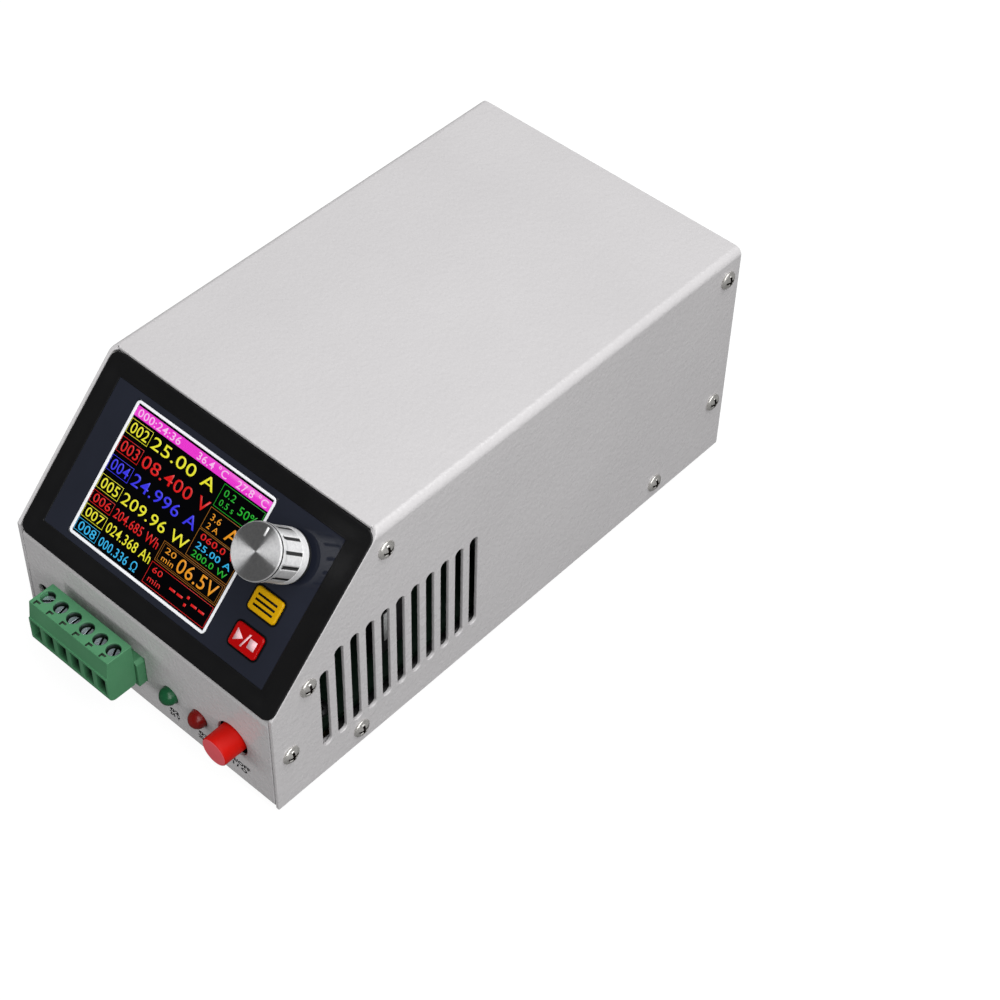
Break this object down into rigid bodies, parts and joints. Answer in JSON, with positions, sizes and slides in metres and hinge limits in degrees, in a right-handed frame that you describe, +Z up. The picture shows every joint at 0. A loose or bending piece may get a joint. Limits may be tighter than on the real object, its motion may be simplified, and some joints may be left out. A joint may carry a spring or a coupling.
{
  "type": "dc electronic load",
  "caption": "Bench DC electronic load in a folded steel case: sloped colour display, turn-and-push knob, two keys, lamps, power button, pluggable screw terminals and a rear fan.",
  "frame": {"origin": "centre of the overall box at the underside of the feet", "axes": "+Z up, the front wall faces -Y, +X to the right of a person facing the front, +Y to the rear wall"},
  "size_m": [0.098, 0.1911, 0.0799],
  "materials": {
    "case_paint": "light warm grey semi-gloss powder coat with fine texture",
    "screw_steel": "nickel plated",
    "rubber": "matt black",
    "bezel_black": "fine satin moulding",
    "film_navy": "glossy dark overlay film",
    "lcd_white": "white display carrier",
    "lcd_glass": "lit colour display behind clear cover",
    "board_green": "solder mask",
    "knob_aluminium": "spun and polished",
    "black_plastic": "moulded",
    "key_yellow": "moulded",
    "key_red": "moulded",
    "terminal_green": "moulded polyamide",
    "contact_brass": "tin plated brass",
    "lamp_green": "diffused lens",
    "lamp_red": "diffused lens",
    "power_red": "moulded",
    "white_plastic": "moulded",
    "sink_aluminium": "extruded",
    "can_blue": "sleeved can",
    "shunt_copper": "resistance alloy strip",
    "wire_red": "insulated wire",
    "ribbon_grey": "flat ribbon wire"
  },
  "bodies": {
    "base": {"top_cover": "case_paint", "chassis": "case_paint", "cover_screws": "screw_steel", "rubber_feet": "rubber", "bezel": "bezel_black", "panel_film": "film_navy", "lcd_frame": "lcd_white", "lcd_panel": "lcd_glass", "display_board": "board_green", "display_screws": "screw_steel", "encoder_body": "screw_steel", "key_switches": "black_plastic", "terminal_header": "terminal_green", "header_pins": "contact_brass", "green_lamp": "lamp_green", "red_lamp": "lamp_red", "lamp_leads": "screw_steel", "power_switch": "black_plastic", "power_board": "board_green", "board_posts": "contact_brass", "board_screws": "screw_steel", "heat_sink": "sink_aluminium", "sink_screws": "screw_steel", "power_transistors": "black_plastic", "capacitors": "can_blue", "shunt_strip": "shunt_copper", "regulator": "screw_steel", "fan_frame": "black_plastic", "fan_screws": "screw_steel", "dc_jack": "black_plastic", "dc_jack_pin": "contact_brass", "dc_jack_nut": "screw_steel", "link_sockets": "white_plastic", "ribbon_link": "ribbon_grey", "lead_wires": "wire_red"},
    "knob_slide": {"encoder_plunger": "white_plastic"},
    "knob_spin": {"knob": "knob_aluminium", "knob_insert": "black_plastic", "encoder_shaft": "knob_aluminium"},
    "menu_body": {"menu_key": "key_yellow", "menu_stem": "black_plastic"},
    "run_body": {"run_key": "key_red", "run_stem": "black_plastic"},
    "power_body": {"power_button": "power_red", "power_stick": "white_plastic"},
    "fan_body": {"fan_rotor": "black_plastic"},
    "plug_body": {"terminal_plug": "terminal_green", "plug_contacts": "contact_brass"},
    "clamp_screw_1_body": {"clamp_screw_1": "screw_steel"},
    "clamp_screw_2_body": {"clamp_screw_2": "screw_steel"},
    "clamp_screw_3_body": {"clamp_screw_3": "screw_steel"},
    "clamp_screw_4_body": {"clamp_screw_4": "screw_steel"},
    "clamp_screw_5_body": {"clamp_screw_5": "screw_steel"},
    "clamp_screw_6_body": {"clamp_screw_6": "screw_steel"},
    "clamp_cage_1_body": {"clamp_cage_1": "contact_brass"},
    "clamp_cage_2_body": {"clamp_cage_2": "contact_brass"},
    "clamp_cage_3_body": {"clamp_cage_3": "contact_brass"},
    "clamp_cage_4_body": {"clamp_cage_4": "contact_brass"},
    "clamp_cage_5_body": {"clamp_cage_5": "contact_brass"},
    "clamp_cage_6_body": {"clamp_cage_6": "contact_brass"}
  },
  "joints": [
    {"name": "knob_push", "type": "slide", "parent": "base", "child": "knob_slide", "axis": [0, 0.7071, -0.7071], "range_m": [0, 0.0005], "stiffness_N_per_m": 900},
    {"name": "knob_turn", "type": "hinge", "parent": "knob_slide", "child": "knob_spin", "pos_m": [0.0291, -0.05834, 0.06461], "axis": [0, -0.7071, 0.7071], "continuous": true},
    {"name": "menu_press", "type": "slide", "parent": "base", "child": "menu_body", "axis": [0, 0.7071, -0.7071], "range_m": [0, 0.0005], "stiffness_N_per_m": 800},
    {"name": "run_press", "type": "slide", "parent": "base", "child": "run_body", "axis": [0, 0.7071, -0.7071], "range_m": [0, 0.0005], "stiffness_N_per_m": 800},
    {"name": "power_press", "type": "slide", "parent": "base", "child": "power_body", "axis": [0, 1, 0], "range_m": [0, 0.003], "stiffness_N_per_m": 300},
    {"name": "fan_spin", "type": "hinge", "parent": "base", "child": "fan_body", "pos_m": [0.008, 0.08205, 0.04], "axis": [0, 1, 0], "continuous": true},
    {"name": "plug_pull", "type": "slide", "parent": "base", "child": "plug_body", "axis": [0, -1, 0], "range_m": [0, 0.012]},
    {"name": "clamp_turn_1", "type": "hinge", "parent": "plug_body", "child": "clamp_screw_1_body", "pos_m": [-0.0297, -0.09015, 0.0265], "axis": [0, 0, -1], "range_deg": [0, 937]},
    {"name": "clamp_lift_1", "type": "slide", "parent": "plug_body", "child": "clamp_cage_1_body", "axis": [0, 0, 1], "range_m": [0, 0.0013]},
    {"name": "clamp_turn_2", "type": "hinge", "parent": "plug_body", "child": "clamp_screw_2_body", "pos_m": [-0.02462, -0.09015, 0.0265], "axis": [0, 0, -1], "range_deg": [0, 937]},
    {"name": "clamp_lift_2", "type": "slide", "parent": "plug_body", "child": "clamp_cage_2_body", "axis": [0, 0, 1], "range_m": [0, 0.0013]},
    {"name": "clamp_turn_3", "type": "hinge", "parent": "plug_body", "child": "clamp_screw_3_body", "pos_m": [-0.01954, -0.09015, 0.0265], "axis": [0, 0, -1], "range_deg": [0, 937]},
    {"name": "clamp_lift_3", "type": "slide", "parent": "plug_body", "child": "clamp_cage_3_body", "axis": [0, 0, 1], "range_m": [0, 0.0013]},
    {"name": "clamp_turn_4", "type": "hinge", "parent": "plug_body", "child": "clamp_screw_4_body", "pos_m": [-0.01446, -0.09015, 0.0265], "axis": [0, 0, -1], "range_deg": [0, 937]},
    {"name": "clamp_lift_4", "type": "slide", "parent": "plug_body", "child": "clamp_cage_4_body", "axis": [0, 0, 1], "range_m": [0, 0.0013]},
    {"name": "clamp_turn_5", "type": "hinge", "parent": "plug_body", "child": "clamp_screw_5_body", "pos_m": [-0.00938, -0.09015, 0.0265], "axis": [0, 0, -1], "range_deg": [0, 937]},
    {"name": "clamp_lift_5", "type": "slide", "parent": "plug_body", "child": "clamp_cage_5_body", "axis": [0, 0, 1], "range_m": [0, 0.0013]},
    {"name": "clamp_turn_6", "type": "hinge", "parent": "plug_body", "child": "clamp_screw_6_body", "pos_m": [-0.0043, -0.09015, 0.0265], "axis": [0, 0, -1], "range_deg": [0, 937]},
    {"name": "clamp_lift_6", "type": "slide", "parent": "plug_body", "child": "clamp_cage_6_body", "axis": [0, 0, 1], "range_m": [0, 0.0013]}
  ],
  "couplings": [
    {"joint": "clamp_turn_1", "follows": "clamp_lift_1", "rad_per_m": 12566},
    {"joint": "clamp_turn_2", "follows": "clamp_lift_2", "rad_per_m": 12566},
    {"joint": "clamp_turn_3", "follows": "clamp_lift_3", "rad_per_m": 12566},
    {"joint": "clamp_turn_4", "follows": "clamp_lift_4", "rad_per_m": 12566},
    {"joint": "clamp_turn_5", "follows": "clamp_lift_5", "rad_per_m": 12566},
    {"joint": "clamp_turn_6", "follows": "clamp_lift_6", "rad_per_m": 12566}
  ]
}
